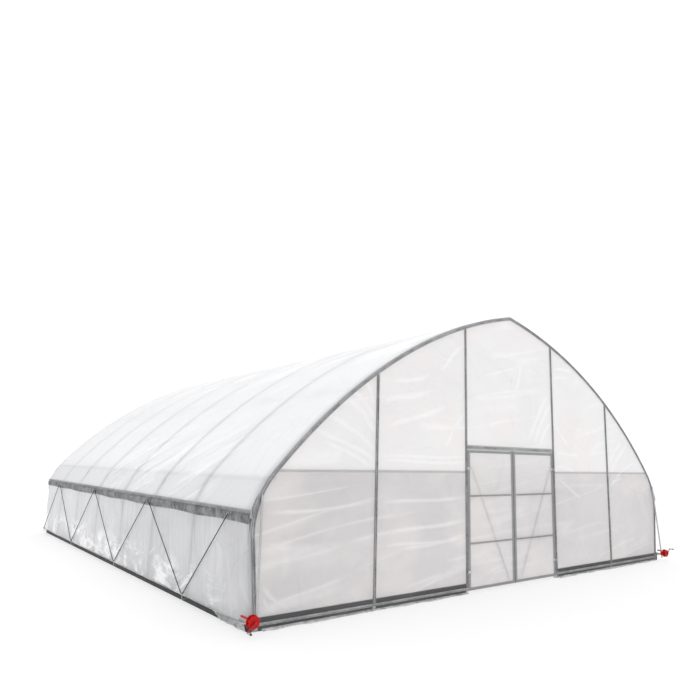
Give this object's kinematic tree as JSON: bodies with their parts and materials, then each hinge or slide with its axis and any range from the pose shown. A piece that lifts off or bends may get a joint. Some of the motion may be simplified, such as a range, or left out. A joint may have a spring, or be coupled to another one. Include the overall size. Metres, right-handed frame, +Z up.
{
  "type": "polytunnel greenhouse",
  "caption": "Film-covered tunnel greenhouse on tube arches with a pointed ridge, double doors in one end and crank-rolled side curtains.",
  "frame": {"origin": "on the ground at the centre of the bounding box", "axes": "+Y along the ridge from the door end to the back, +X across to the right seen from the doors, +Z up"},
  "size_m": [9.5124, 11.054, 4.3295],
  "materials": {
    "galvanised_tube": "galvanised steel, dull",
    "galvanised_sheet": "galvanised steel, dull",
    "aluminium_channel": "mill aluminium with a wiggle wire in it",
    "black_board": "black recycled board, matt",
    "film": "milky translucent polythene film",
    "curtain_film": "milky translucent polythene film, creased",
    "rolled_film": "polythene film wound in many layers",
    "door_tube": "grey powder coat",
    "zinc_hardware": "zinc plated",
    "red_cast": "red enamel on a cast housing",
    "dark_rope": "braided cord, dark grey"
  },
  "bodies": {
    "tunnel": {"door_header": "galvanised_tube", "door_posts": "galvanised_tube", "eave_bends": "galvanised_tube", "front_arch_channel": "aluminium_channel", "front_base_boards": "black_board", "front_film_left": "film", "front_film_over_door": "film", "front_film_right": "film", "front_girts": "galvanised_tube", "front_lock_channels": "aluminium_channel", "hinge_pins": "zinc_hardware", "left_base_board": "black_board", "left_eave_channel": "aluminium_channel", "left_eave_rail": "galvanised_sheet", "left_gearbox": "red_cast", "left_guide_pole": "galvanised_tube", "left_roll_bar": "rolled_film", "left_rope": "dark_rope", "left_side_curtain": "curtain_film", "left_valance": "curtain_film", "leg_tubes": "galvanised_tube", "lower_purlins": "galvanised_tube", "lower_rafters": "galvanised_tube", "middle_purlins": "galvanised_tube", "outer_posts": "galvanised_tube", "rear_arch_channel": "aluminium_channel", "rear_base_boards": "black_board", "rear_film": "film", "rear_girts": "galvanised_tube", "rear_lock_channels": "aluminium_channel", "rear_posts": "galvanised_tube", "ridge_purlin": "galvanised_tube", "right_base_board": "black_board", "right_eave_channel": "aluminium_channel", "right_eave_rail": "galvanised_sheet", "right_gearbox": "red_cast", "right_guide_pole": "galvanised_tube", "right_roll_bar": "rolled_film", "right_rope": "dark_rope", "right_side_curtain": "curtain_film", "right_valance": "curtain_film", "roof_film": "film", "rope_hooks": "zinc_hardware", "upper_purlins": "galvanised_tube", "upper_rafters": "galvanised_tube"},
    "right_door": {"right_door_frame": "door_tube", "right_door_film": "film", "right_door_hinges": "zinc_hardware"},
    "left_door": {"left_door_frame": "door_tube", "left_door_film": "film", "left_door_hinges": "zinc_hardware"},
    "right_crank": {"right_crank": "zinc_hardware"},
    "left_crank": {"left_crank": "zinc_hardware"}
  },
  "joints": [
    {"name": "right_door_swing", "type": "hinge", "parent": "tunnel", "child": "right_door", "pos_m": [1.096, -5.247, 0.037], "axis": [0, 0, 1], "range_deg": [0, 110]},
    {"name": "left_door_swing", "type": "hinge", "parent": "tunnel", "child": "left_door", "pos_m": [-1.096, -5.247, 0.037], "axis": [0, 0, -1], "range_deg": [0, 110]},
    {"name": "right_crank_turn", "type": "hinge", "parent": "tunnel", "child": "right_crank", "pos_m": [4.65935, -5.436, 0.15], "axis": [0, 1, 0], "continuous": true},
    {"name": "left_crank_turn", "type": "hinge", "parent": "tunnel", "child": "left_crank", "pos_m": [-4.65935, -5.436, 0.15], "axis": [0, 1, 0], "continuous": true}
  ]
}
